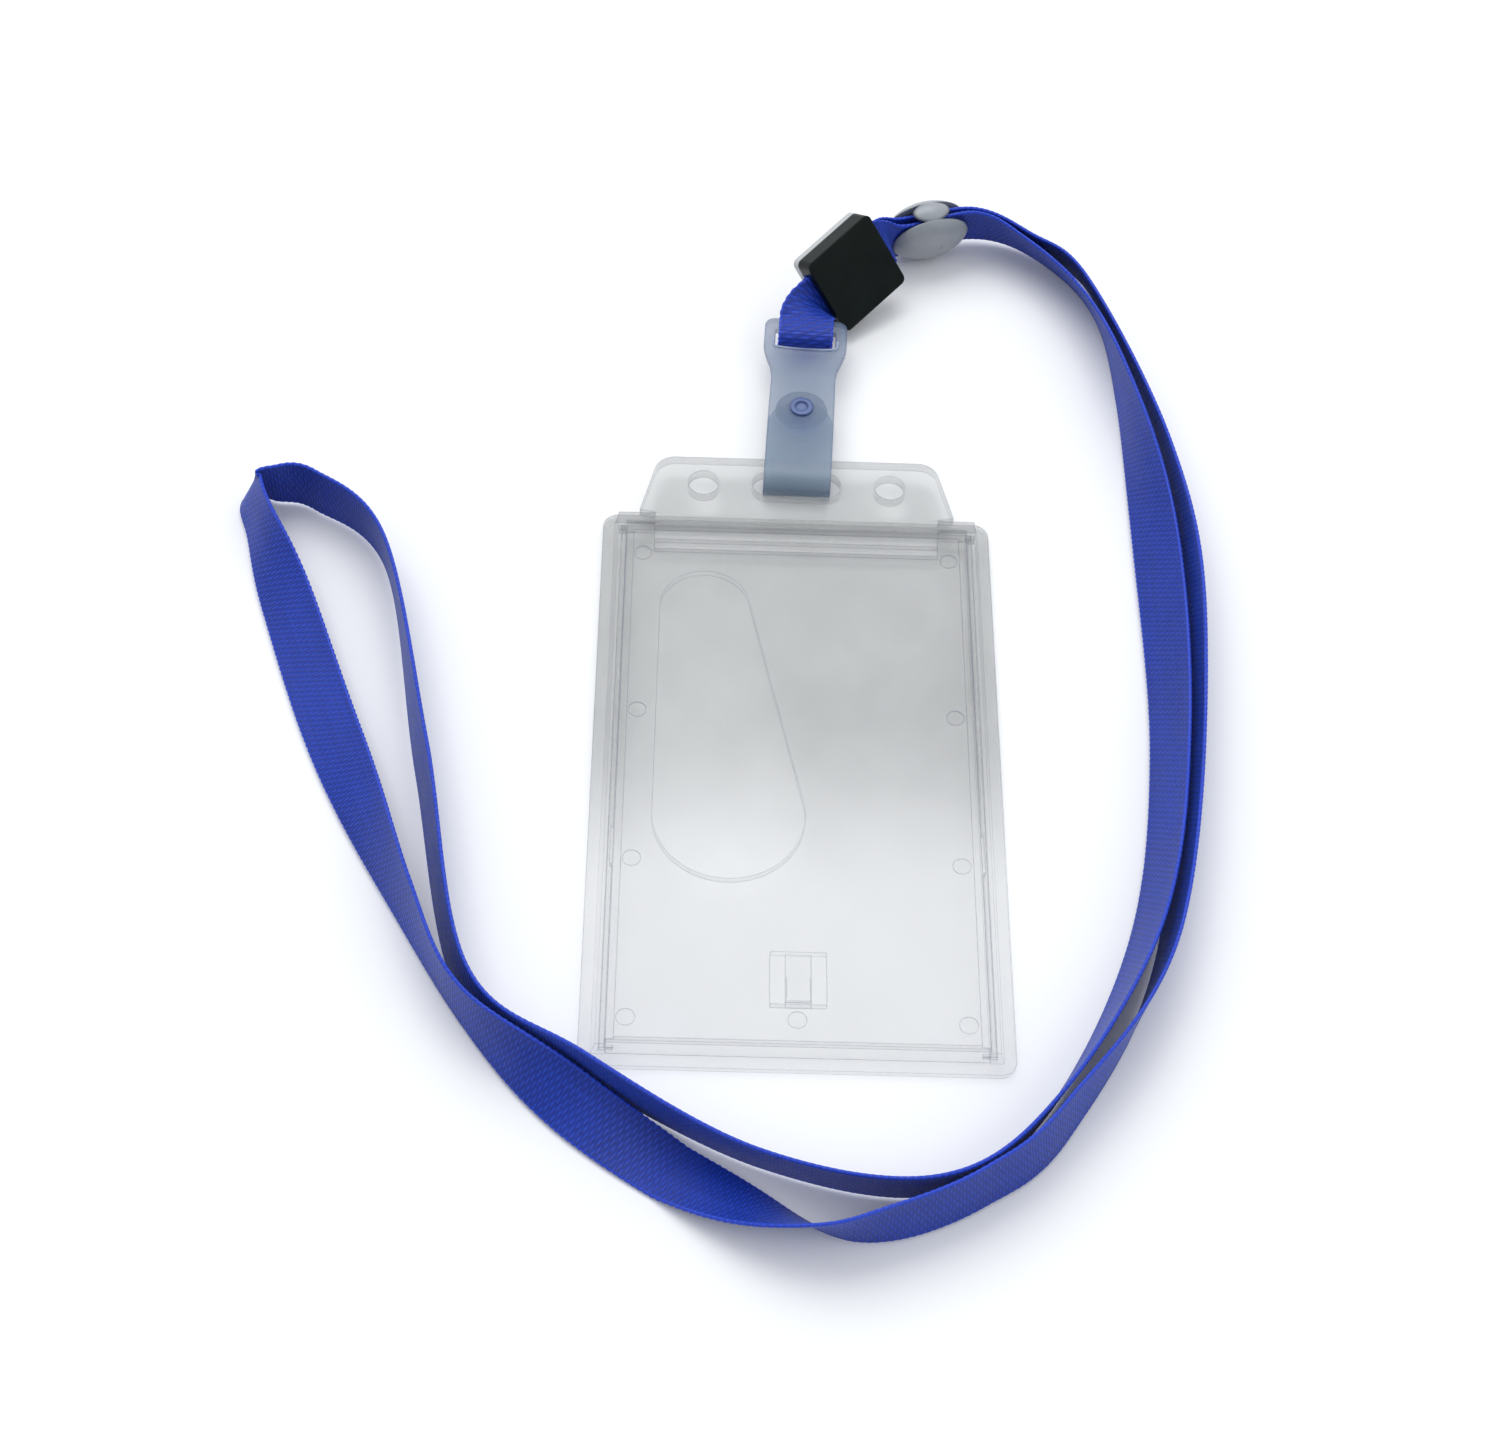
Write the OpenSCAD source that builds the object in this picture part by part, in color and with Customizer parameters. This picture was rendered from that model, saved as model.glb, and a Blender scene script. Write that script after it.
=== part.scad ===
// Lanyard badge holder: a clear card case with a sliding cover, a vinyl snap strap,
// a two-part end block, and a woven neck ribbon with a slider bead. Millimetres.
// The case lies on its back. Z points up, +Y points from the case towards its strap.

/* [Case] */
// Width of the rear tray
case_w = 64; // [63:0.5:68]
// Height of the rear tray, without its hanging tab
case_l = 104; // [101:1:110]
// Thickness of the closed case
case_t = 4; // [3.9:0.1:4.3]
// Thickness of the tray's floor
floor_t = 1; // [0.8:0.1:1.1]
// Width of the brim that stands out past the rails
brim_w = 1.9; // [1.6:0.1:2.1]
// Radius of the brim's corners
corner_r = 2.5; // [1.5:0.5:4]

/* [Hanging tab] */
// Thickness of the tab
tab_t = 1.8; // [1.5:0.1:1.9]
// Length of the strap slot
slot_l = 14.8; // [14.6:0.2:16]
// Width of the strap slot
slot_w = 5.2; // [5:0.1:5.4]
// Radius of the two side holes
hole_r = 2.55; // [2:0.05:2.8]
// Distance between the centres of the side holes
hole_pitch = 31.1; // [29:0.1:34]

/* [Cover] */
// Thickness of the cover plate
cover_t = 1.2; // [1.1:0.05:1.2]
// Radius of the thumb window at its narrow upper end
window_r1 = 7.2; // [5:0.1:8]
// Radius of the thumb window at its wide lower end
window_r2 = 11.7; // [9:0.1:12]
// Width of the latch tongue
tongue_w = 3.9; // [3:0.1:4.5]
// Length of the latch tongue
tongue_l = 8.8; // [8:0.1:10]

/* [Strap] */
// Width of the vinyl strap
strap_w = 11.2; // [10:0.1:11.2]
// Thickness of the vinyl
strap_t = 0.9; // [0.8:0.05:0.9]
// Radius of the inside of the strap's bend
bend_r = 1.9; // [1.9:0.05:2]
// Lean of the strap towards +X, in degrees
strap_lean = 2.7; // [0:0.1:3]
// Radius of the snap's cap
snap_r = 2; // [1.6:0.1:2.4]

/* [Lanyard] */
// Side of the square end block
block_w = 14.8; // [14:0.1:15]
// Thickness of the end block
block_t = 5.2; // [5:0.1:5.6]
// Width of the woven ribbon
ribbon_w = 9.5; // [8:0.5:9.5]
// Thickness of the woven ribbon
ribbon_t = 0.6; // [0.4:0.05:0.6]
// Length of the slider bead
bead_l = 15.6; // [15:0.2:17]

/* [Hidden] */

fine = 48;
gap = 0.1;
over = 1;                               // how far a cutter runs past the face it cuts

// Case heights and places; y is measured from the middle of the tray
head_top = 93.4;                        // top edge of the strap's head
case_y = -(head_top - case_l / 2) / 2;  // the origin is under the middle of the whole object
rail_in = case_w / 2 - 3.95;
rail_out = case_w / 2 - brim_w;
rail_top = rail_out - 0.7;
rail_y = case_l / 2 - brim_w;
wall_t = 1.9;
groove_z = [case_t - 1.9, case_t - 1.1];
groove_d = 0.9;
tab_half = 23.4;
tab_top_y = case_l / 2 + 10.6;
tab_z = case_t - 0.05 - tab_t;
slot_y = case_l / 2 + 5.2;
hole_y = case_l / 2 + 5.1;
ejectors = [[25.2, 44], [25.2, 12], [25.2, -16], [25.2, -43.8]];
ejector_r = 1.4;

// Cover
cover_z = case_t - cover_t;
cover_in = rail_in - gap;
cover_top_y = rail_y - 2.8;
window_1 = [-14.9, 30.8];
window_2 = [-10.6, -9.5];
cut_w = 8.3;                            // width of the cut around the tongue
cut_y = -33.9;                          // the tongue's root
root_r = cover_t / 2;

// Strap, in its own frame: x across it, y along it from the middle of the tab's slot
tab_mid_z = tab_z + tab_t / 2;
band_z = tab_mid_z + bend_r;
flap_z = tab_mid_z - bend_r - strap_t;
bend_y = 1.1;
head_y = head_top - slot_y;
head_half = 7.15;
head_slot = [10.4, 3.9];
head_slot_y = head_y - 4.7;
neck_y = 23;
neck_half = 5.5;
snap_y = 15.7;
socket_r = 4.4;
socket_h = 1.45;
stud_r = 1.6;
post_r = 1;
flap_hinge_y = bend_y + gap + strap_t / 2;

// End block and bead
block_at = [9.1, 82.2, 8.5];
block_turn = [-32.7, -13.5, 44];
seam_y = block_t / 2 - 1.5;
pocket = [11, 3.8, 11.2];
bead_at = [23.3, 95.6, 6.2];
bead_turn = 18;
bead_lean = 11;
bead_h = 12;
bead_d = 9.2;
bead_slot = [3.7, 10.8];

// Neck ribbon's route: x, y, lift of its lower edge, and tilt of its width in degrees.
// It runs from the block through the bead, round the loop and back to the block.
ribbon_route = [
    [9.3, 82.8, 4.1, -57], [13.9, 87.2, 5.6, -57], [16.9, 94.2, 1.1, -100],
    [31.4, 98.5, 1, -106], [42.5, 94.4, 0.2, -115], [52.3, 83.4, 0, -112],
    [62.5, 43, 0, -90], [63.5, 6, 0, -71], [55.3, -51, 0, -76], [38.3, -81.5, 0, -100],
    [26, -92.5, 0, -100], [12.5, -98.5, 0, -95], [2, -99, 0, -65], [-11.5, -93, 0, -15],
    [-32, -80, 0, 30], [-48.5, -66, 0, 85], [-59, -47, 0, 72], [-72, -17, 0, 25],
    [-82, 9.5, 0, 30], [-88, 24.5, 0, 62], [-90, 31.5, 0, 65], [-86.5, 32.3, 0, 86],
    [-79.5, 31.2, 0, 95], [-66.9, 18.5, 0, 90], [-57.9, -22, 0, 103], [-48.8, -61.7, 0, 98],
    [-30.6, -75.1, 0, 87], [-5.4, -89, 0, 78], [19.4, -92.4, 0, 80],
    [36.3, -79.3, 0, 80], [52, -49.5, 0, 65], [58.4, -14.5, 0, 57], [59.4, 26.5, 0, 47],
    [56.1, 60, 0, 87], [51.2, 81, 0, 115], [41.8, 93.5, 0.2, 118], [31.7, 97.5, 1, 106],
    [17.9, 92.5, 1.1, 100], [15.05, 87.31, 6.2, 57], [9.74, 82.32, 4.5, 57]
];
rest_gap = 0.35;
ribbon_steps = 2;

// Clip loop's route: centre, then the direction of its width
clip_route = [
    [[8.8, 81.6, 8.5], [0.52, -0.26, -0.82]], [[4, 76.9, 6.9], [0.52, -0.26, -0.82]],
    [[2.6, 74.6, 7.3], [0.87, -0.2, -0.45]], [[1.8, 72.8, 7.5], [0.98, -0.08, -0.18]],
    [[1.6, 71.3, 7.4], [1, -0.05, 0]], [[1.5, 69.1, 7.3], [1, -0.05, 0]],
    [[1.5, 67.5, 6.7], [1, -0.05, 0]], [[1.4, 67, 5.4], [1, -0.05, 0]],
    [[1.5, 67.5, 4.1], [1, -0.05, 0]], [[1.5, 69.1, 3.5], [1, -0.05, 0]],
    [[1.6, 71.3, 3.4], [1, -0.05, 0]], [[1.8, 72.8, 3.6], [0.98, -0.08, -0.18]],
    [[2.3, 74.9, 5.1], [0.87, -0.2, -0.45]], [[3.7, 77.4, 6.5], [0.52, -0.26, -0.82]],
    [[8.5, 82.1, 8.1], [0.52, -0.26, -0.82]]
];
clip_steps = 2;

// Colours
clear_plastic = [0.85, 0.88, 0.9, 0.4];
vinyl = [0.68, 0.75, 0.85, 0.7];
blue = [0.08, 0.12, 0.7];

// One point of a Catmull-Rom curve between b and c
function spline(a, b, c, d, t) =
    0.5 * (2 * b + (c - a) * t + (2 * a - 5 * b + 4 * c - d) * t * t
           + (3 * b - a - 3 * c + d) * t * t * t);
function row(rows, i) =
    i < 0 ? 2 * rows[0] - rows[1]
    : i >= len(rows) ? 2 * rows[len(rows) - 1] - rows[len(rows) - 2]
    : rows[i];
function smooth(rows, steps) = [
    for (i = [0 : len(rows) - 2], k = [0 : steps - 1])
        spline(row(rows, i - 1), rows[i], rows[i + 1], row(rows, i + 2), k / steps),
    rows[len(rows) - 1]
];
function unit(v) = v / norm(v);

// Direction of travel at ring i of a list of centres
function travel(centres, i) =
    unit(centres[min(i + 1, len(centres) - 1)] - centres[max(i - 1, 0)]);

// Centre and width direction of a ribbon row that stands on its lower edge
function stand(rows) = [
    for (i = [0 : len(rows) - 1])
        let (t = travel([for (r = rows) [r[0], r[1], 0]], i),
             tilt = rows[i][3],
             side = [t[1], -t[0], 0],
             rise = rest_gap + rows[i][2] + ribbon_w / 2 * abs(sin(tilt)))
        [[rows[i][0], rows[i][1], rise], cos(tilt) * side + [0, 0, sin(tilt)]]
];

// Flat woven band of a given width and thickness along rows of [centre, width direction]
module flat_band(rows, w, t) {
    centres = [for (r = rows) r[0]];
    n = len(rows);
    points = [
        for (i = [0 : n - 1])
            let (across = unit(rows[i][1]) * w / 2,
                 face = unit(cross(travel(centres, i), across)) * t / 2)
            each [centres[i] - across - face, centres[i] + across - face,
                  centres[i] + across + face, centres[i] - across + face]
    ];
    sides = [
        for (i = [0 : n - 2], k = [0 : 3])
            let (a = 4 * i + k, b = 4 * i + (k + 1) % 4)
            each [[a, b, b + 4], [a, b + 4, a + 4]]
    ];
    last = 4 * (n - 1);
    polyhedron(points, concat(sides, [[3, 2, 1], [3, 1, 0]],
                              [[last, last + 1, last + 2], [last, last + 2, last + 3]]));
}

function arc(c, r, from, to, n = 8) = [
    for (i = [0 : n])
        let (a = from + (to - from) * i / n) c + r * [cos(a), sin(a)]
];

module both_sides() {
    children();
    mirror([1, 0, 0]) children();
}

module in_case() {
    translate([0, case_y, 0]) children();
}

module in_strap() {
    translate([0, case_y + slot_y, 0]) rotate([0, 0, -strap_lean]) children();
}

module in_block() {
    translate(block_at) rotate(block_turn) children();
}

// Plate with round corners, centred on the origin and standing on z = 0
module round_plate(w, l, h, r) {
    linear_extrude(h) union() {
        square([w - 2 * r, l], center = true);
        square([w, l - 2 * r], center = true);
        for (x = [-1, 1], y = [-1, 1])
            translate([x * (w / 2 - r), y * (l / 2 - r)]) circle(r, $fn = fine);
    }
}

// Slot with round ends along x
module stadium(l, w, h) {
    cube_l = l - w;
    translate([-cube_l / 2, -w / 2, 0]) cube([cube_l, w, h]);
    for (x = [-1, 1])
        translate([x * cube_l / 2, 0, 0]) cylinder(h = h, r = w / 2, $fn = fine);
}

// Opening round two circles of different radius and their common tangents
module tangent_slot(c1, r1, c2, r2, h) {
    way = c2 - c1;
    turn = atan2(way[1], way[0]);
    open = acos((r1 - r2) / norm(way));
    linear_extrude(h) polygon(concat(
        arc(c1, r1, turn + open, turn + 360 - open, 28),
        arc(c2, r2, turn - open, turn + open, 36)
    ));
}

// Rail with its groove, a sloped outer face and a foot sunk into the floor
module rail() {
    translate([0, rail_y, 0]) rotate([90, 0, 0]) linear_extrude(2 * rail_y) polygon([
        [rail_in, floor_t / 2], [rail_out, floor_t / 2], [rail_out, floor_t],
        [rail_top, case_t], [rail_in, case_t], [rail_in, groove_z[1]],
        [rail_in + groove_d, groove_z[1]], [rail_in + groove_d, groove_z[0]],
        [rail_in, groove_z[0]]
    ]);
}

// Hanging tab, seen from above: a foot wider than its root, and round top corners
module tab_plate() {
    foot = 26;
    tip = 23.85;
    r = 3.5;
    right = concat(
        [[tab_half, rail_y - 2.6], [tab_half, rail_y + 0.2], [foot, rail_y + 0.7]],
        arc([tip - r, tab_top_y - r], r, 13, 90)
    );
    left = [for (i = [len(right) - 1 : -1 : 0]) [-right[i][0], right[i][1]]];
    translate([0, 0, tab_z]) linear_extrude(tab_t) polygon(concat(right, left));
}

// Wall and steps behind the tab: the cover's stop, the ledge under it and the card's stop
module top_block() {
    step_y = [rail_y - 5.8, rail_y - 4.5, rail_y - 2.6];
    low = floor_t / 2;
    translate([-tab_half, step_y[2], low]) cube([2 * tab_half, 2.6, case_t - 0.05 - low]);
    translate([-tab_half, step_y[1], low])
        cube([2 * tab_half, 2.6, cover_z - gap - low]);
    translate([-tab_half, step_y[0], low]) cube([2 * tab_half, 2, 1.8 - low]);
    both_sides() translate([tab_half - over, rail_y - wall_t, low])
        cube([rail_top - tab_half + over, wall_t, case_t - low]);
}

module rear_tray() {
    stop_slot = [1, 1, 1.1];
    notch = [0.45, 7, 1.1];
    color(clear_plastic) in_case() difference() {
        union() {
            round_plate(case_w, case_l, floor_t, corner_r);
            both_sides() rail();
            top_block();
            tab_plate();
        }
        translate([0, slot_y, 0]) stadium(slot_l, slot_w, case_t + over);
        both_sides() translate([hole_pitch / 2, hole_y, 0])
            cylinder(h = case_t + over, r = hole_r, $fn = fine);
        both_sides() for (e = ejectors)
            translate([e[0], e[1], floor_t - 0.15]) cylinder(h = 0.3, r = ejector_r, $fn = 32);
        translate([0, -43.6, floor_t - 0.15]) cylinder(h = 0.3, r = ejector_r, $fn = 32);
        both_sides() translate([rail_in + 0.2, rail_y - 4, case_t - stop_slot[2] + 0.1])
            cube(stop_slot);
        both_sides() translate([rail_in - 0.1, -19, case_t - notch[2] - 0.02]) cube(notch + [0, 0, 1]);
    }
}

module sliding_cover() {
    foot_in = rail_y - wall_t;
    foot_z = floor_t + gap;
    skirt_w = 1.15;
    runner = [groove_z[0] + gap, groove_z[1] - gap];
    color(clear_plastic) in_case() difference() {
        union() {
            translate([-cover_in, 0, 0]) rotate([90, 0, 90]) linear_extrude(2 * cover_in)
                polygon([[-rail_y, foot_z], [-foot_in, foot_z], [-foot_in, cover_z],
                         [cover_top_y, cover_z], [cover_top_y, case_t],
                         [-rail_y + 0.7, case_t]]);
            both_sides() translate([cover_in - skirt_w, -rail_y, runner[0]])
                cube([skirt_w + groove_d - gap + gap, rail_y + cover_top_y,
                      runner[1] - runner[0]]);
            both_sides() translate([cover_in - skirt_w, -rail_y + 0.1, runner[0]])
                cube([skirt_w, rail_y + cover_top_y - 0.1, cover_z - runner[0] + 0.1]);
        }
        translate([0, 0, cover_z - over])
            tangent_slot(window_1, window_r1, window_2, window_r2, cover_t + 2 * over);
        translate([-cut_w / 2, cut_y - tongue_l, cover_z - over])
            cube([cut_w, tongue_l, cover_t + 2 * over]);
    }
}

// Sprung tongue with a round root, a thumb bump on top and a catch under its tip
module latch_tongue() {
    root_y = cut_y - gap - root_r;
    tip_y = cut_y - tongue_l + 0.2;
    bump_l = 4;
    bump_r = 4.25;
    catch_h = 0.5;
    color(clear_plastic) in_case() union() {
        translate([-tongue_w / 2, tip_y, cover_z]) cube([tongue_w, root_y - tip_y, cover_t]);
        translate([-tongue_w / 2, root_y, cover_z + root_r]) rotate([0, 90, 0])
            cylinder(h = tongue_w, r = root_r, $fn = fine);
        intersection() {
            translate([-tongue_w / 2 + 0.2, tip_y + 0.4 + bump_l / 2, case_t + 0.5 - bump_r])
                rotate([0, 90, 0]) cylinder(h = tongue_w - 0.4, r = bump_r, $fn = 96);
            translate([-tongue_w, tip_y + 0.3, case_t - 0.1]) cube([2 * tongue_w, bump_l + 0.2, 1]);
        }
        translate([-tongue_w / 2, tip_y, cover_z - catch_h])
            cube([tongue_w, 1, catch_h + 0.1]);
    }
}

// Outline of the band: straight sides, a slight neck, then a wide head
function band_side() = concat(
    [[strap_w / 2, bend_y], [strap_w / 2, neck_y - 8], [neck_half, neck_y - 2],
     [neck_half, neck_y], [neck_half + 0.3, neck_y + 2], [neck_half + 1, neck_y + 4],
     [head_half - 0.15, neck_y + 5.8], [head_half, neck_y + 7]],
    arc([head_half - 1.8, head_y - 1.8], 1.8, 0, 90)
);

module strap_band() {
    right = band_side();
    left = [for (i = [len(right) - 1 : -1 : 0]) [-right[i][0], right[i][1]]];
    color(vinyl) in_strap() {
        difference() {
            translate([0, 0, band_z]) linear_extrude(strap_t) polygon(concat(right, left));
            translate([-head_slot[0] / 2, head_slot_y - head_slot[1] / 2, band_z - over])
                cube([head_slot[0], head_slot[1], strap_t + 2 * over]);
            translate([0, snap_y, band_z - over])
                cylinder(h = strap_t + 2 * over, r = post_r + 0.05, $fn = fine);
        }
        // Half-round bend through the tab's slot
        translate([-strap_w / 2, bend_y, tab_mid_z]) rotate([0, 90, 0]) difference() {
            cylinder(h = strap_w, r = bend_r + strap_t, $fn = fine);
            translate([0, 0, -over]) cylinder(h = strap_w + 2 * over, r = bend_r, $fn = fine);
            translate([-strap_w, 0, -over]) cube([2 * strap_w, strap_w, strap_w + 2 * over]);
        }
    }
}

module strap_flap() {
    color(vinyl) in_strap() difference() {
        union() {
            translate([-strap_w / 2, flap_hinge_y, flap_z])
                cube([strap_w, snap_y - flap_hinge_y, strap_t]);
            translate([0, snap_y, flap_z]) cylinder(h = strap_t, r = strap_w / 2, $fn = 96);
            translate([-strap_w / 2, flap_hinge_y, flap_z + strap_t / 2]) rotate([0, 90, 0])
                cylinder(h = strap_w, r = strap_t / 2, $fn = fine);
        }
        translate([0, snap_y, flap_z - over])
            cylinder(h = strap_t + 2 * over, r = post_r + 0.05, $fn = fine);
    }
}

// Cap on the band, with a dimple on top and a post through the band into the socket
module snap_cap() {
    top = band_z + strap_t;
    color([0.35, 0.42, 0.6]) in_strap() translate([0, snap_y, 0]) difference() {
        union() {
            translate([0, 0, top]) cylinder(h = 0.3, r = snap_r, $fn = fine);
            translate([0, 0, band_z - 0.4]) cylinder(h = strap_t + 0.5, r = post_r, $fn = fine);
        }
        translate([0, 0, top + 0.1]) cylinder(h = over, r = 1.1, $fn = fine);
    }
}

module snap_socket() {
    color(vinyl) in_strap() translate([0, snap_y, band_z - socket_h]) difference() {
        cylinder(h = socket_h, r = socket_r, $fn = 64);
        translate([0, 0, -over]) cylinder(h = over + 1, r = stud_r + 0.3, $fn = fine);
        cylinder(h = socket_h + over, r = post_r + 0.05, $fn = fine);
    }
}

module snap_stud() {
    low = flap_z + strap_t;
    color(vinyl) in_strap() translate([0, snap_y, low]) difference() {
        union() {
            cylinder(h = 0.8, r = 3.8, $fn = 64);
            cylinder(h = band_z - socket_h + 0.9 - low, r = stud_r, $fn = fine);
        }
        translate([0, 0, -over]) cylinder(h = over + 0.5, r = post_r + 0.05, $fn = fine);
    }
}

module snap_post() {
    color(vinyl) in_strap() translate([0, snap_y, 0]) {
        translate([0, 0, flap_z - 0.2]) cylinder(h = 0.2, r = snap_r, $fn = fine);
        translate([0, 0, flap_z - 0.1]) cylinder(h = strap_t + 0.5, r = post_r, $fn = fine);
    }
}

module clip_loop() {
    color(blue) flat_band(smooth(clip_route, clip_steps), ribbon_w, ribbon_t);
}

// Square block with four round edges, its pocket and the slots that its ribbons pass
module block_whole() {
    r = 1.1;
    slot_t = 2.4;
    difference() {
        rotate([90, 0, 0]) translate([0, 0, -block_t / 2])
            round_plate(block_w, block_w, block_t, r);
        cube(pocket, center = true);
        cube([block_w + 2 * over, slot_t, ribbon_w + 0.7], center = true);
    }
}

module block_front() {
    color([0.07, 0.08, 0.08]) in_block() intersection() {
        block_whole();
        translate([-block_w, -block_w, -block_w]) cube([2 * block_w, block_w + seam_y, 2 * block_w]);
    }
}

module block_back() {
    color([0.72, 0.73, 0.74]) in_block() intersection() {
        block_whole();
        translate([-block_w, seam_y, -block_w]) cube([2 * block_w, block_w, 2 * block_w]);
    }
}

// Flat metal sleeve that grips the ends of both ribbons
module ribbon_crimp() {
    outer = [9, 3.4, 10.8];
    wall = 0.4;
    color([0.75, 0.75, 0.77]) in_block() difference() {
        cube(outer, center = true);
        cube([outer[0] + 2 * over, outer[1] - 2 * wall, outer[2] - 2 * wall], center = true);
    }
}

// Lens-shaped bead standing on its rim, with a slot along it
module slider_bead() {
    color([0.75, 0.78, 0.85]) translate(bead_at) rotate([bead_lean, 0, bead_turn])
        difference() {
            scale([bead_l, bead_d, bead_h] / 20) rotate([0, 90, 0]) sphere(r = 10, $fn = 48);
            cube([2 * bead_l, bead_slot[0], bead_slot[1]], center = true);
        }
}

module neck_ribbon() {
    color(blue) flat_band(stand(smooth(ribbon_route, ribbon_steps)), ribbon_w, ribbon_t);
}

rear_tray();
sliding_cover();
latch_tongue();
strap_band();
strap_flap();
snap_cap();
snap_socket();
snap_stud();
snap_post();
clip_loop();
block_front();
block_back();
ribbon_crimp();
slider_bead();
neck_ribbon();
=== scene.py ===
import math

import bpy
from mathutils import Matrix, Vector


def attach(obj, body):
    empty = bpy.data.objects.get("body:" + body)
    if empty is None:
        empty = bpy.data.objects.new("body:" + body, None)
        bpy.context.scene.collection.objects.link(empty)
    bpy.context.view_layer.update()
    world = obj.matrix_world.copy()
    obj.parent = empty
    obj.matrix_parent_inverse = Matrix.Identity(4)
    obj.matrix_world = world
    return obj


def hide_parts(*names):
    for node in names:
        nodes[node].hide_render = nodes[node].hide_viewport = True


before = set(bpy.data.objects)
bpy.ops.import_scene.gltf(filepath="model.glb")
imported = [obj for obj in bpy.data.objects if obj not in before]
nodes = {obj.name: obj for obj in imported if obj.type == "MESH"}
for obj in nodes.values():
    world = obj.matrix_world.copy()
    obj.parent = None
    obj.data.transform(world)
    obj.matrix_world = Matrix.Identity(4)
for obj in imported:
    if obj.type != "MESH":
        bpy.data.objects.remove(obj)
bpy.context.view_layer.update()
scene = bpy.context.scene
scene.view_settings.view_transform = "Standard"
scene.cycles.transparent_max_bounces = 32    # the clear case has many faces behind each other

# ---------------------------------------------------------------- camera
cam_data = bpy.data.cameras.new("camera")
cam_data.sensor_width = 36
cam_data.lens = 66.985
cam_data.clip_start = 0.01
cam = bpy.data.objects.new("camera", cam_data)
scene.collection.objects.link(cam)
right = Vector((0.99929513, 0.0083332, 0.03660328))
up = Vector((-0.02824404, 0.80919723, 0.58685784))
back = Vector((-0.02472887, -0.587478, 0.80886221))
turn = Matrix((right, up, back)).transposed().to_4x4()
cam.matrix_world = Matrix.Translation((-0.018797, -0.26832, 0.354694)) @ turn
scene.camera = cam

# ---------------------------------------------------------------- cords' routes
RIBBON_W = 0.0095
RIBBON_T = 0.0006
REST_GAP = 0.00035     # metres below a ribbon's lower edge
ROUTE_STEPS, CLIP_STEPS = 24, 16
BAND_STEP, SCALLOP, SCALLOP_PITCH = 0.00026, 0.00007, 0.00105
# x, y, lift of the lower edge (metres) and tilt of the width (degrees), as in the CAD source
RIBBON_ROUTE = [
    (0.0093, 0.0828, 0.0041, -57), (0.0139, 0.0872, 0.0056, -57), (0.0169, 0.0942, 0.0011, -100),
    (0.0314, 0.0985, 0.001, -106), (0.0425, 0.0944, 0.0002, -115), (0.0523, 0.0834, 0, -112),
    (0.0625, 0.043, 0, -90), (0.0635, 0.006, 0, -71), (0.0553, -0.051, 0, -76),
    (0.0383, -0.0815, 0, -100), (0.026, -0.0925, 0, -100), (0.0125, -0.0985, 0, -95),
    (0.002, -0.099, 0, -65), (-0.0115, -0.093, 0, -15), (-0.032, -0.08, 0, 30),
    (-0.0485, -0.066, 0, 85), (-0.059, -0.047, 0, 72), (-0.072, -0.017, 0, 25),
    (-0.082, 0.0095, 0, 30), (-0.088, 0.0245, 0, 62), (-0.09, 0.0315, 0, 65),
    (-0.0865, 0.0323, 0, 86), (-0.0795, 0.0312, 0, 95), (-0.0669, 0.0185, 0, 90),
    (-0.0579, -0.022, 0, 103), (-0.0488, -0.0617, 0, 98), (-0.0306, -0.0751, 0, 87),
    (-0.0054, -0.089, 0, 78), (0.0194, -0.0924, 0, 80), (0.0363, -0.0793, 0, 80),
    (0.052, -0.0495, 0, 65), (0.0584, -0.0145, 0, 57), (0.0594, 0.0265, 0, 47),
    (0.0561, 0.06, 0, 87), (0.0512, 0.081, 0, 115), (0.0418, 0.0935, 0.0002, 118),
    (0.0317, 0.0975, 0.001, 106), (0.0179, 0.0925, 0.0011, 100), (0.01505, 0.08731, 0.0062, 57),
    (0.00974, 0.08232, 0.0045, 57),
]
CLIP_ROUTE = [
    ((8.8, 81.6, 8.5), (0.52, -0.26, -0.82)), ((4, 76.9, 6.9), (0.52, -0.26, -0.82)),
    ((2.6, 74.6, 7.3), (0.87, -0.2, -0.45)), ((1.8, 72.8, 7.5), (0.98, -0.08, -0.18)),
    ((1.6, 71.3, 7.4), (1, -0.05, 0)), ((1.5, 69.1, 7.3), (1, -0.05, 0)),
    ((1.5, 67.5, 6.7), (1, -0.05, 0)), ((1.4, 67, 5.4), (1, -0.05, 0)),
    ((1.5, 67.5, 4.1), (1, -0.05, 0)), ((1.5, 69.1, 3.5), (1, -0.05, 0)),
    ((1.6, 71.3, 3.4), (1, -0.05, 0)), ((1.8, 72.8, 3.6), (0.98, -0.08, -0.18)),
    ((2.3, 74.9, 5.1), (0.87, -0.2, -0.45)), ((3.7, 77.4, 6.5), (0.52, -0.26, -0.82)),
    ((8.5, 82.1, 8.1), (0.52, -0.26, -0.82)),
]


def smooth(rows, steps):
    """Catmull-Rom through rows of equal-length tuples."""
    rows = [Vector(r) for r in rows]
    ends = [2 * rows[0] - rows[1]] + rows + [2 * rows[-1] - rows[-2]]
    out = []
    for i in range(len(rows) - 1):
        a, b, c, d = ends[i:i + 4]
        for k in range(steps):
            t = k / steps
            out.append(0.5 * (2 * b + (c - a) * t + (2 * a - 5 * b + 4 * c - d) * t * t
                              + (3 * b - a - 3 * c + d) * t ** 3))
    out.append(rows[-1])
    return out


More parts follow.
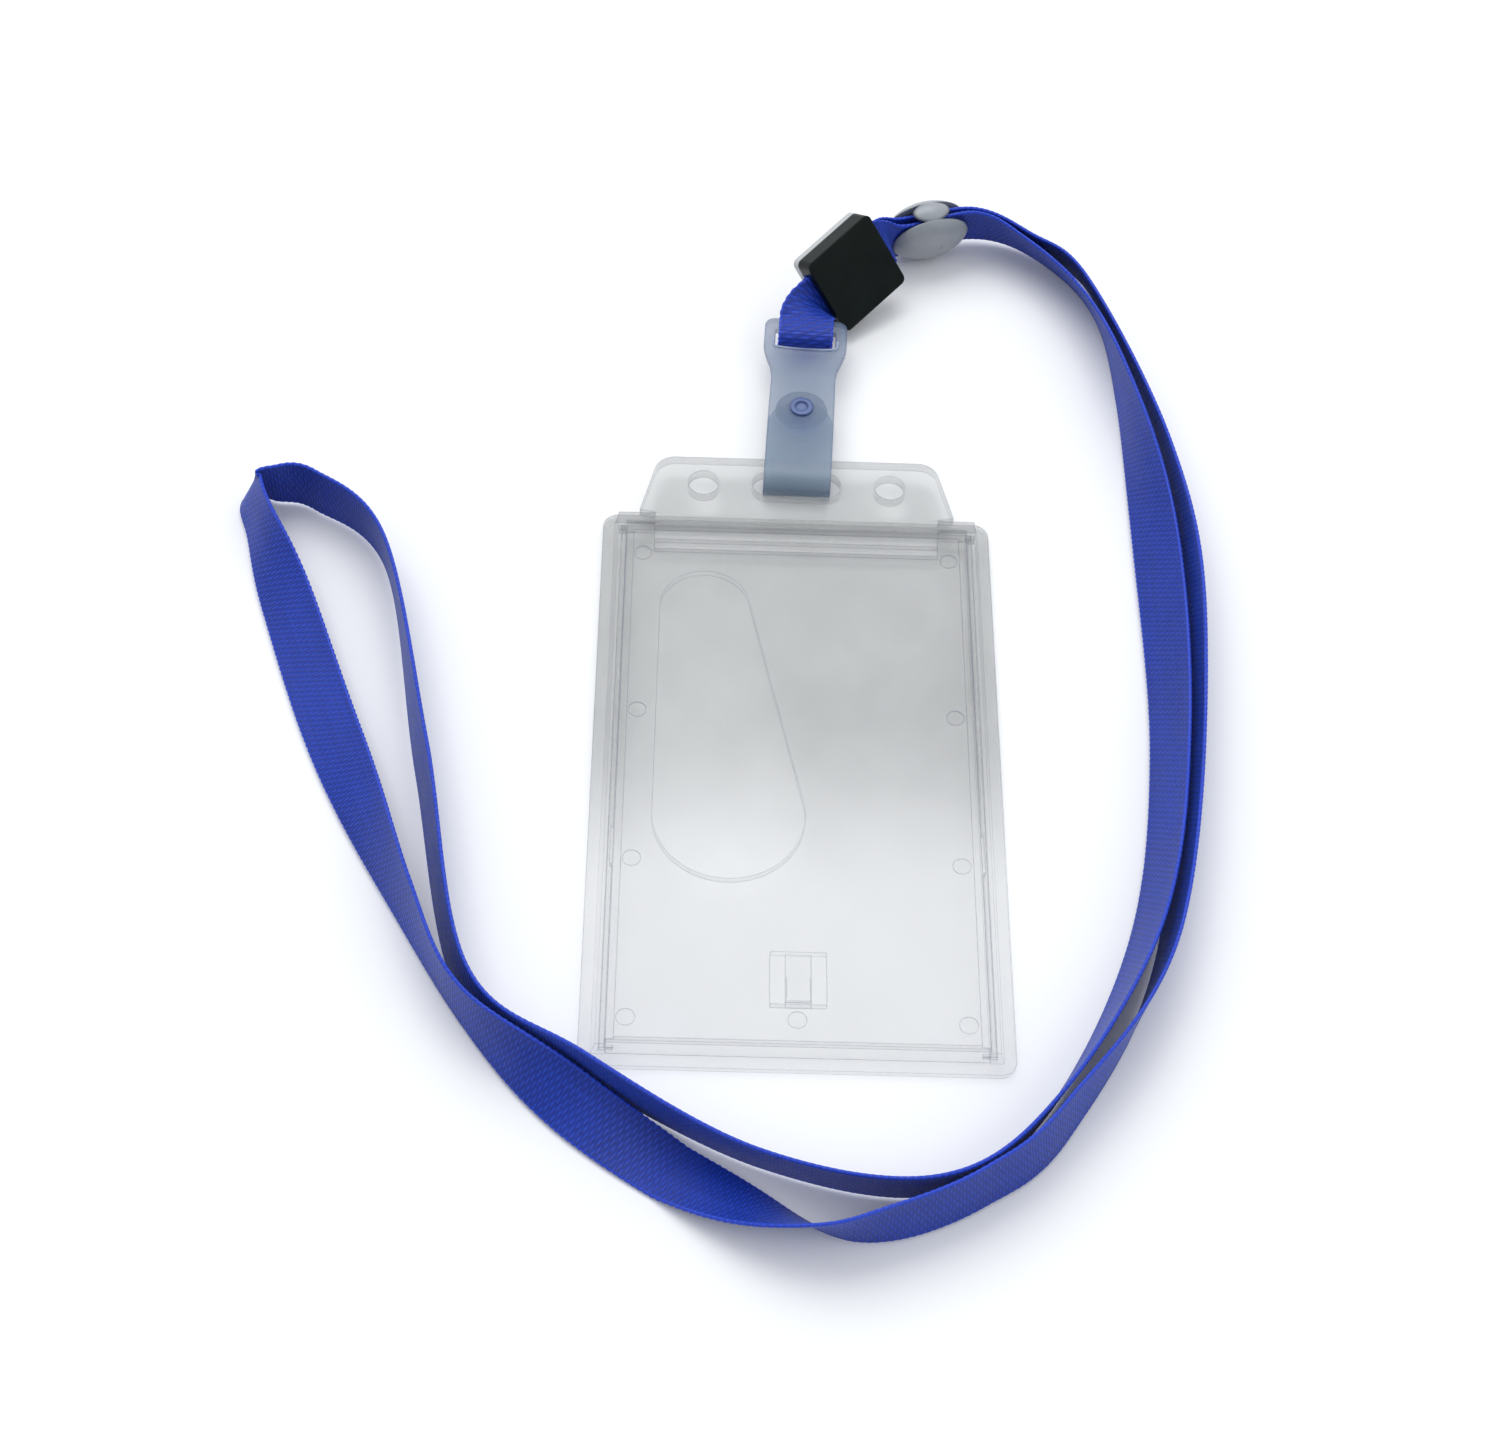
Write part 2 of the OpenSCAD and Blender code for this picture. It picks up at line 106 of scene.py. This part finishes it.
def stand(rows):
    """Centre and width direction of each row of a ribbon that stands on its lower edge."""
    out = []
    for i, r in enumerate(rows):
        a, b = rows[max(i - 1, 0)], rows[min(i + 1, len(rows) - 1)]
        t = Vector((b[0] - a[0], b[1] - a[1])).normalized()
        tilt = math.radians(r[3])
        rise = REST_GAP + r[2] + RIBBON_W / 2 * abs(math.sin(tilt))
        out.append((Vector((r[0], r[1], rise)),
                    Vector((t[1] * math.cos(tilt), -t[0] * math.cos(tilt), math.sin(tilt)))))
    return out


def resample(rows, step):
    """Rows of (centre, width direction) at even distances along the band."""
    dist = [0.0]
    for a, b in zip(rows, rows[1:]):
        dist.append(dist[-1] + (b[0] - a[0]).length)
    n = max(8, round(dist[-1] / step))
    out, j = [], 0
    for i in range(n + 1):
        s = dist[-1] * i / n
        while j < len(rows) - 2 and dist[j + 1] < s:
            j += 1
        f = min(1, (s - dist[j]) / max(dist[j + 1] - dist[j], 1e-9))
        out.append((s, rows[j][0].lerp(rows[j + 1][0], f),
                    rows[j][1].lerp(rows[j + 1][1], f).normalized()))
    return out


def add_mesh(name, verts, faces, uvs=None, is_smooth=True):
    mesh = bpy.data.meshes.new(name)
    mesh.from_pydata(verts, [], faces)
    mesh.update()
    if uvs:
        layer = mesh.uv_layers.new(name="weave")
        for loop in mesh.loops:
            layer.data[loop.index].uv = uvs[loop.vertex_index]
    mesh.polygons.foreach_set("use_smooth", [is_smooth] * len(mesh.polygons))
    obj = bpy.data.objects.new(name, mesh)
    scene.collection.objects.link(obj)
    return obj


def band(name, rows, width, thick, step, scallop, pitch):
    """Woven band: a thin rounded section with a fuller selvedge and a finely scalloped edge."""
    section = [(-1, 0.35), (-0.975, 0.85), (-0.93, 1), (-0.86, 0.86), (-0.4, 0.9), (0, 0.92),
               (0.4, 0.9), (0.86, 0.86), (0.93, 1), (0.975, 0.85), (1, 0.35)]
    ring = [(u, h) for u, h in section] + [(u, -h) for u, h in reversed(section)]
    verts, uvs, faces = [], [], []
    rings = resample(rows, step)
    m = len(ring)
    for i, (s, c, w) in enumerate(rings):
        ahead = rings[min(i + 1, len(rings) - 1)][1] - rings[max(i - 1, 0)][1]
        face = ahead.normalized().cross(w).normalized()
        bump = scallop * math.sin(2 * math.pi * s / pitch)
        for u, h in ring:
            half = width / 2 - scallop + bump * (1 if u > 0 else -1) * abs(u) ** 6
            verts.append(c + w * (u * half) + face * (h * thick / 2))
            uvs.append((s * 100, u * half * 100))
    for i in range(len(rings) - 1):
        for k in range(m):
            a, b = i * m + k, i * m + (k + 1) % m
            faces.append((a, b, b + m, a + m))
    faces.append(tuple(reversed(range(m))))
    faces.append(tuple(range((len(rings) - 1) * m, len(rings) * m)))
    return add_mesh(name, verts, faces, uvs)


# ---------------------------------------------------------------- materials
SNAP_AT = (0.00074, 0.05218)     # the snap's centre, and spots of painted shade below it and under the head slot
SNAP_SHADE_AT = (0.0007, 0.0487)
SHADE_AT = (0.0014, 0.0645)


def material(name):
    mat = bpy.data.materials.new(name)
    mat.use_nodes = True
    tree = mat.node_tree
    return mat, tree, tree.nodes["Principled BSDF"]


def math_node(tree, op, a, b=None, c=None, clamp=False):
    n = tree.nodes.new("ShaderNodeMath")
    n.operation = op
    n.use_clamp = clamp
    for i, v in enumerate((a, b, c)):
        if v is None:
            continue
        if isinstance(v, (int, float)):
            n.inputs[i].default_value = v
        else:
            tree.links.new(v, n.inputs[i])
    return n.outputs[0]


def ramp(tree, fac, stops):
    n = tree.nodes.new("ShaderNodeValToRGB")
    els = n.color_ramp.elements
    while len(els) < len(stops):
        els.new(0.5)
    for e, (pos, col) in zip(els, stops):
        e.position = pos
        e.color = (*col, 1) if len(col) == 3 else col
    tree.links.new(fac, n.inputs[0])
    return n.outputs[0]


def mix_color(tree, fac, a, b, mode="MIX"):
    n = tree.nodes.new("ShaderNodeMix")
    n.data_type = "RGBA"
    n.blend_type = mode
    for sock, v in ((n.inputs[0], fac), (n.inputs[6], a), (n.inputs[7], b)):
        if isinstance(v, (int, float)):
            sock.default_value = v
        elif isinstance(v, tuple):
            sock.default_value = (*v, 1)
        else:
            tree.links.new(v, sock)
    return n.outputs[2]


def bump_node(tree, height, strength, distance, normal=None):
    n = tree.nodes.new("ShaderNodeBump")
    n.inputs["Strength"].default_value = strength
    n.inputs["Distance"].default_value = distance
    tree.links.new(height, n.inputs["Height"])
    if normal is not None:
        tree.links.new(normal, n.inputs["Normal"])
    return n.outputs[0]


def noise(tree, scale, detail=2.0, rough=0.5, vector=None):
    n = tree.nodes.new("ShaderNodeTexNoise")
    n.inputs["Scale"].default_value = scale
    n.inputs["Detail"].default_value = detail
    n.inputs["Roughness"].default_value = rough
    if vector is None:
        vector = tree.nodes.new("ShaderNodeTexCoord").outputs["Object"]
    tree.links.new(vector, n.inputs["Vector"])
    return n.outputs[0]


def edge_mask(tree, radius, gain):
    """0 on flat faces and up to 1 at edges, from the bevel node's turned normal."""
    bevel = tree.nodes.new("ShaderNodeBevel")
    bevel.samples = 6
    bevel.inputs["Radius"].default_value = radius
    geo = tree.nodes.new("ShaderNodeNewGeometry")
    dot = tree.nodes.new("ShaderNodeVectorMath")
    dot.operation = "DOT_PRODUCT"
    tree.links.new(bevel.outputs[0], dot.inputs[0])
    tree.links.new(geo.outputs["Normal"], dot.inputs[1])
    off = math_node(tree, "SUBTRACT", 1.0, dot.outputs["Value"])
    return math_node(tree, "MULTIPLY", off, gain, clamp=True), bevel.outputs[0]


def wave(tree, a, scale_a, b=None, scale_b=0.0):
    """sin(2 pi (a scale_a + b scale_b)) from 0 to 1."""
    total = math_node(tree, "MULTIPLY", a, scale_a)
    if b is not None:
        total = math_node(tree, "ADD", total, math_node(tree, "MULTIPLY", b, scale_b))
    turn_ = math_node(tree, "MULTIPLY", total, 2 * math.pi)
    return math_node(tree, "MULTIPLY_ADD", math_node(tree, "SINE", turn_), 0.5, 0.5)


def spot_distance(tree, vector, at):
    """Distance across the shared frame's x and y from a point."""
    flat = tree.nodes.new("ShaderNodeVectorMath")
    flat.operation = "MULTIPLY"
    tree.links.new(vector, flat.inputs[0])
    flat.inputs[1].default_value = (1, 1, 0)
    far = tree.nodes.new("ShaderNodeVectorMath")
    far.operation = "DISTANCE"
    tree.links.new(flat.outputs[0], far.inputs[0])
    far.inputs[1].default_value = (*at, 0)
    return far.outputs["Value"]


def fade(tree, value, near, far):
    """1 at near, smoothly to 0 at far."""
    n = tree.nodes.new("ShaderNodeMapRange")
    n.interpolation_type = "SMOOTHSTEP"
    n.inputs["From Min"].default_value = near
    n.inputs["From Max"].default_value = far
    n.inputs["To Min"].default_value = 1.0
    n.inputs["To Max"].default_value = 0.0
    tree.links.new(value, n.inputs["Value"])
    return n.outputs[0]


def ribbon_material(name, rib, twill, strength):
    """Satin weave: fine ribs across the band and a shallow diagonal twill, in UV millimetres, with
    painted shade in the weave's grooves.
    """
    mat, tree, bsdf = material(name)
    uv = tree.nodes.new("ShaderNodeUVMap")
    uv.uv_map = "weave"
    sep = tree.nodes.new("ShaderNodeSeparateXYZ")
    tree.links.new(uv.outputs[0], sep.inputs[0])
    s = math_node(tree, "MULTIPLY", sep.outputs[0], 10.0)     # millimetres along
    t = math_node(tree, "MULTIPLY", sep.outputs[1], 10.0)     # millimetres across
    ribs = wave(tree, s, 1 / rib)
    warp = wave(tree, t, 1 / 0.3)
    diag = wave(tree, s, 1 / twill, t, 0.55 / twill)
    weave = math_node(tree, "MULTIPLY", ribs, diag)
    weave = math_node(tree, "MULTIPLY_ADD", warp, 0.25, weave)
    cloud = noise(tree, 90, 3, 0.6)
    streak = tree.nodes.new("ShaderNodeTexNoise")
    streak.inputs["Scale"].default_value = 1.0
    streak.inputs["Detail"].default_value = 1.0
    comb = tree.nodes.new("ShaderNodeCombineXYZ")
    tree.links.new(math_node(tree, "MULTIPLY", s, 0.05), comb.inputs[0])
    tree.links.new(math_node(tree, "MULTIPLY", t, 2.4), comb.inputs[1])
    tree.links.new(comb.outputs[0], streak.inputs["Vector"])
    tone = math_node(tree, "MULTIPLY_ADD", weave, 0.5,
                     math_node(tree, "MULTIPLY_ADD", cloud, 0.35,
                               math_node(tree, "MULTIPLY", streak.outputs[0], 0.3)))
    # the ramp darkens the colour where the weave's relief is low, painted shade in its grooves, and
    # varies it at random with the cloud and streak noise
    colour = ramp(tree, tone, [(0.12, (0.001, 0.01, 0.12)), (0.5, (0.003, 0.028, 0.31)),
                               (0.95, (0.009, 0.055, 0.52))])
    edge = math_node(tree, "GREATER_THAN", math_node(tree, "ABSOLUTE", t), 4.35)
    colour = mix_color(tree, math_node(tree, "MULTIPLY", edge, 0.35), colour,
                       (0.03, 0.09, 0.85))
    tree.links.new(colour, bsdf.inputs["Base Color"])
    tree.links.new(math_node(tree, "MULTIPLY_ADD", cloud, 0.2, 0.36), bsdf.inputs["Roughness"])
    bsdf.inputs["Specular IOR Level"].default_value = 0.35
    bsdf.inputs["Sheen Weight"].default_value = 0.12
    bsdf.inputs["Sheen Roughness"].default_value = 0.4
    bsdf.inputs["Sheen Tint"].default_value = (0.3, 0.45, 1, 1)
    tree.links.new(bump_node(tree, weave, strength, 0.00012), bsdf.inputs["Normal"])
    return mat


def clear_material(name, tint, low, high, edge_alpha, edge_gain=3.0, radius=0.00035):
    """Clear moulded plastic: thin tint over the faces, greyer towards the tab as painted shade, with
    visible edges drawn as lines of painted shade.
    """
    mat, tree, bsdf = material(name)
    mask, rounded = edge_mask(tree, radius, edge_gain)
    coord = tree.nodes.new("ShaderNodeTexCoord")
    sep = tree.nodes.new("ShaderNodeSeparateXYZ")
    tree.links.new(coord.outputs["Object"], sep.inputs[0])
    # painted shade: the tint's alpha rises from low to high across y, greying the case towards the tab
    rise = tree.nodes.new("ShaderNodeMapRange")
    rise.interpolation_type = "SMOOTHERSTEP"
    rise.inputs["From Min"].default_value = -0.048
    rise.inputs["From Max"].default_value = 0.0
    rise.inputs["To Min"].default_value = low
    rise.inputs["To Max"].default_value = high
    tree.links.new(sep.outputs[1], rise.inputs["Value"])
    smear = noise(tree, 60, 4, 0.6)
    body = math_node(tree, "MULTIPLY", rise.outputs[0],
                     math_node(tree, "MULTIPLY_ADD", smear, 0.5, 0.75))
    fresnel = tree.nodes.new("ShaderNodeFresnel")
    fresnel.inputs["IOR"].default_value = 1.35
    body = math_node(tree, "MULTIPLY_ADD", fresnel.outputs[0], 0.12, body)
    # painted shade: at the edges the alpha rises and the colour turns grey-lavender, lines standing in
    # for refraction
    alpha = math_node(tree, "MULTIPLY_ADD", mask, edge_alpha, body, clamp=True)
    tree.links.new(alpha, bsdf.inputs["Alpha"])
    colour = mix_color(tree, mask, tint, (0.27, 0.28, 0.4))
    tree.links.new(colour, bsdf.inputs["Base Color"])
    tree.links.new(math_node(tree, "MULTIPLY_ADD", smear, 0.12, 0.08), bsdf.inputs["Roughness"])
    bsdf.inputs["Specular IOR Level"].default_value = 0.7
    tree.links.new(rounded, bsdf.inputs["Normal"])
    return mat


def vinyl_material(name, dark, light, alpha):
    """Frosted soft vinyl: milky, darker towards the head, at its edges and round the snap, with
    painted shade below the snap and under the head slot.
    """
    mat, tree, bsdf = material(name)
    mask, rounded = edge_mask(tree, 0.0006, 2.2)
    cloud = noise(tree, 160, 3, 0.55)
    coord = tree.nodes.new("ShaderNodeTexCoord")
    sep = tree.nodes.new("ShaderNodeSeparateXYZ")
    tree.links.new(coord.outputs["Object"], sep.inputs[0])
    rise = tree.nodes.new("ShaderNodeMapRange")
    rise.inputs["From Min"].default_value = 0.036
    rise.inputs["From Max"].default_value = 0.066
    tree.links.new(sep.outputs[1], rise.inputs["Value"])
    tone = math_node(tree, "MULTIPLY_ADD", cloud, 0.3,
                     math_node(tree, "MULTIPLY", rise.outputs[0], 0.75))
    colour = mix_color(tree, tone, light, dark)
    away = spot_distance(tree, coord.outputs["Object"], SNAP_AT)
    arcs = math_node(tree, "MULTIPLY", wave(tree, away, 1 / 0.0011), fade(tree, away, 0.0028, 0.0056))
    # painted shade: darker blue spots below the snap and under the head slot
    painted_snap_shade = fade(tree, spot_distance(tree, coord.outputs["Object"], SNAP_SHADE_AT), 0.0, 0.005)
    shade = fade(tree, spot_distance(tree, coord.outputs["Object"], SHADE_AT), -0.001, 0.0048)
    colour = mix_color(tree, math_node(tree, "MULTIPLY", arcs, 0.35), colour, (0.1, 0.16, 0.34))
    colour = mix_color(tree, math_node(tree, "MULTIPLY", painted_snap_shade, 0.55), colour, (0.1, 0.17, 0.38))
    colour = mix_color(tree, math_node(tree, "MULTIPLY", shade, 0.8), colour, (0.05, 0.08, 0.26))
    colour = mix_color(tree, math_node(tree, "MULTIPLY", mask, 0.75), colour, (0.12, 0.15, 0.38))
    tree.links.new(colour, bsdf.inputs["Base Color"])
    tree.links.new(math_node(tree, "MULTIPLY_ADD", mask, 0.15, alpha, clamp=True),
                   bsdf.inputs["Alpha"])
    tree.links.new(math_node(tree, "MULTIPLY_ADD", cloud, 0.2, 0.25), bsdf.inputs["Roughness"])
    grain = noise(tree, 2500, 2, 0.5)
    tree.links.new(bump_node(tree, grain, 0.15, 0.00004, rounded), bsdf.inputs["Normal"])
    return mat


def plastic_material(name, dark, light, rough, grain_scale=1800, grain=0.12, radius=0.0005,
                     edge=(1, 1, 1), edge_amount=0.0):
    """Moulded plastic: slight cloudiness, fine grain and rounded edges mixed towards an edge colour.
    """
    mat, tree, bsdf = material(name)
    mask, rounded = edge_mask(tree, radius, 2.5)
    cloud = noise(tree, 220, 4, 0.6)
    colour = mix_color(tree, cloud, dark, light)
    colour = mix_color(tree, math_node(tree, "MULTIPLY", mask, edge_amount), colour, edge)
    tree.links.new(colour, bsdf.inputs["Base Color"])
    tree.links.new(math_node(tree, "MULTIPLY_ADD", cloud, 0.16, rough - 0.08),
                   bsdf.inputs["Roughness"])
    g = noise(tree, grain_scale, 3, 0.6)
    tree.links.new(bump_node(tree, g, grain, 0.00005, rounded), bsdf.inputs["Normal"])
    return mat


def set_material(obj, mat):
    obj.data.materials.clear()
    obj.data.materials.append(mat)


MAT_RIBBON = ribbon_material("woven_ribbon", 0.55, 1.0, 0.6)
MAT_CLIP = ribbon_material("woven_clip", 0.7, 1.5, 0.8)

# ---------------------------------------------------------------- ribbons
ribbon_rows = stand(smooth(RIBBON_ROUTE, ROUTE_STEPS))
neck = band("neck_ribbon_woven", ribbon_rows, RIBBON_W, RIBBON_T, BAND_STEP, SCALLOP, SCALLOP_PITCH)
set_material(neck, MAT_RIBBON)
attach(neck, "lanyard")
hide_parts("neck_ribbon")

centres = smooth([tuple(x / 1000 for x in a) for a, b in CLIP_ROUTE], CLIP_STEPS)
widths = smooth([b for a, b in CLIP_ROUTE], CLIP_STEPS)
clip = band("clip_loop_woven", [(c, w.normalized()) for c, w in zip(centres, widths)],
            RIBBON_W, RIBBON_T, BAND_STEP, SCALLOP, SCALLOP_PITCH)
set_material(clip, MAT_CLIP)
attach(clip, "lanyard")
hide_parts("clip_loop")

# ---------------------------------------------------------------- case, strap, block, bead
# the low and high alphas set the painted shade that greys the case towards the tab
MAT_TRAY = clear_material("clear_tray", (0.34, 0.35, 0.345), 0.07, 0.27, 0.5, radius=0.00025)
MAT_COVER = clear_material("clear_cover", (0.34, 0.35, 0.36), 0.015, 0.03, 0.6, radius=0.0003)
MAT_VINYL = vinyl_material("frosted_vinyl", (0.12, 0.18, 0.3), (0.25, 0.33, 0.42), 0.46)
MAT_SNAP = vinyl_material("snap_plastic", (0.04, 0.08, 0.24), (0.06, 0.11, 0.28), 0.9)
MAT_BLACK = plastic_material("black_block", (0.003, 0.0055, 0.0045), (0.008, 0.012, 0.01), 0.34,
                             edge=(0.03, 0.036, 0.033), edge_amount=0.5)
MAT_GREY = plastic_material("grey_block", (0.4, 0.41, 0.42), (0.52, 0.53, 0.54), 0.42,
                            edge=(0.6, 0.6, 0.6), edge_amount=0.4)
MAT_BEAD = plastic_material("bead_plastic", (0.24, 0.26, 0.29), (0.34, 0.36, 0.38), 0.3,
                            edge=(0.16, 0.18, 0.25), edge_amount=0.4)
MAT_BLACK.node_tree.nodes["Principled BSDF"].inputs["Specular IOR Level"].default_value = 0.12

MAT_STEEL = plastic_material("crimp_steel", (0.4, 0.4, 0.42), (0.6, 0.6, 0.62), 0.3)
MAT_STEEL.node_tree.nodes["Principled BSDF"].inputs["Metallic"].default_value = 1.0

for names, mat in ((("rear_tray",), MAT_TRAY), (("sliding_cover", "latch_tongue"), MAT_COVER),
                   (("strap_band", "strap_flap", "snap_socket", "snap_stud", "snap_post"), MAT_VINYL),
                   (("snap_cap",), MAT_SNAP), (("block_front",), MAT_BLACK),
                   (("block_back",), MAT_GREY), (("slider_bead",), MAT_BEAD),
                   (("ribbon_crimp",), MAT_STEEL)):
    for n in names:
        set_material(nodes[n], mat)

BLOCK_EDGE = 0.00055
for n in ("block_front", "block_back"):
    soft = nodes[n].modifiers.new("edges", "BEVEL")
    soft.width = BLOCK_EDGE
    soft.segments = 3
    soft.limit_method = "ANGLE"
    soft.angle_limit = math.radians(50)


def tube(name, points, radius, sides=10):
    """Round tube through points, with closed ends."""
    verts, faces = [], []
    for i, p in enumerate(points):
        ahead = (points[min(i + 1, len(points) - 1)] - points[max(i - 1, 0)]).normalized()
        a = ahead.cross(Vector((0, 0, 1))).normalized()
        b = a.cross(ahead)
        grow = math.sin(math.pi * (0.25 + 0.5 * min(1, min(i, len(points) - 1 - i) / 3)))
        for k in range(sides):
            w = 2 * math.pi * k / sides
            verts.append(p + (a * math.cos(w) + b * math.sin(w)) * radius * grow)
    for i in range(len(points) - 1):
        for k in range(sides):
            a, b = i * sides + k, i * sides + (k + 1) % sides
            faces.append((a, b, b + sides, a + sides))
    faces.append(tuple(reversed(range(sides))))
    faces.append(tuple(range((len(points) - 1) * sides, len(points) * sides)))
    return add_mesh(name, verts, faces)


# Welded rim round the lower edge of the slot in the strap's head, in the strap's own frame
STRAP = Matrix.Translation((0, 0.0365, 0)) @ Matrix.Rotation(math.radians(-2.7), 4, "Z")
RIM_HALF, RIM_TOP, RIM_DROP, RIM_BOW = 5.55, 31.4, 1.5, 0.75    # millimetres
RIM_Z, RIM_R, RIM_SIDE = 0.00588, 0.00032, 0.15
rim = []
for i in range(41):
    w = i / 40
    if w < RIM_SIDE:
        p = (-RIM_HALF, RIM_TOP - RIM_DROP * w / RIM_SIDE)
    elif w > 1 - RIM_SIDE:
        p = (RIM_HALF, RIM_TOP - RIM_DROP + RIM_DROP * (w - 1 + RIM_SIDE) / RIM_SIDE)
    else:
        f = (w - RIM_SIDE) / (1 - 2 * RIM_SIDE)
        bow = math.sin(math.pi * min(max(f, 0), 1)) ** 0.35
        p = (-RIM_HALF + 2 * RIM_HALF * f, RIM_TOP - RIM_DROP - RIM_BOW * bow)
    rim.append(STRAP @ Vector((p[0] / 1000, p[1] / 1000, RIM_Z)))
head_rim = tube("head_rim", rim, RIM_R)
set_material(head_rim, vinyl_material("rim_vinyl", (0.42, 0.5, 0.66), (0.6, 0.66, 0.78), 0.7))
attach(head_rim, "strap")

# ---------------------------------------------------------------- studio
FLOOR, FLOOR_Z = 3, -0.0001
corners = [(-FLOOR, -FLOOR), (FLOOR, -FLOOR), (FLOOR, FLOOR), (-FLOOR, FLOOR)]
floor = add_mesh("floor", [(x, y, FLOOR_Z) for x, y in corners], [(0, 1, 2, 3)], is_smooth=False)
mat, tree, bsdf = material("floor")
bsdf.inputs["Base Color"].default_value = (0.9, 0.9, 0.9, 1)
bsdf.inputs["Roughness"].default_value = 0.9
bsdf.inputs["Specular IOR Level"].default_value = 0.1
set_material(floor, mat)

world = bpy.data.worlds.new("world")
scene.world = world
world.use_nodes = True
wt = world.node_tree
sky = wt.nodes.new("ShaderNodeTexCoord")
parts = wt.nodes.new("ShaderNodeSeparateXYZ")
wt.links.new(sky.outputs["Generated"], parts.inputs[0])
height = math_node(wt, "ADD", math_node(wt, "MULTIPLY", parts.outputs[2], 0.55),
                   math_node(wt, "MULTIPLY_ADD", parts.outputs[1], 0.3, 0.15), clamp=True)
wt.links.new(ramp(wt, height, [(0.0, (0.42, 0.43, 0.45)), (0.35, (0.62, 0.65, 0.68)),
                               (0.85, (1.1, 1.12, 1.15))]),
             wt.nodes["Background"].inputs["Color"])
wt.nodes["Background"].inputs["Strength"].default_value = 0.95


def area_light(name, place, aim, size, energy, colour=(1, 1, 1)):
    data = bpy.data.lights.new(name, "AREA")
    data.shape = "RECTANGLE"
    data.size, data.size_y = size
    data.energy = energy
    data.color = colour
    light = bpy.data.objects.new(name, data)
    scene.collection.objects.link(light)
    light.location = place
    light.rotation_euler = (Vector(aim) - Vector(place)).to_track_quat("-Z", "Y").to_euler()


area_light("key", (-0.25, 0.7, 1.1), (0, 0, 0), (1.2, 0.9), 9)
area_light("fill", (0.9, -0.5, 0.9), (0, 0, 0), (1.0, 1.0), 3, (0.95, 0.97, 1))
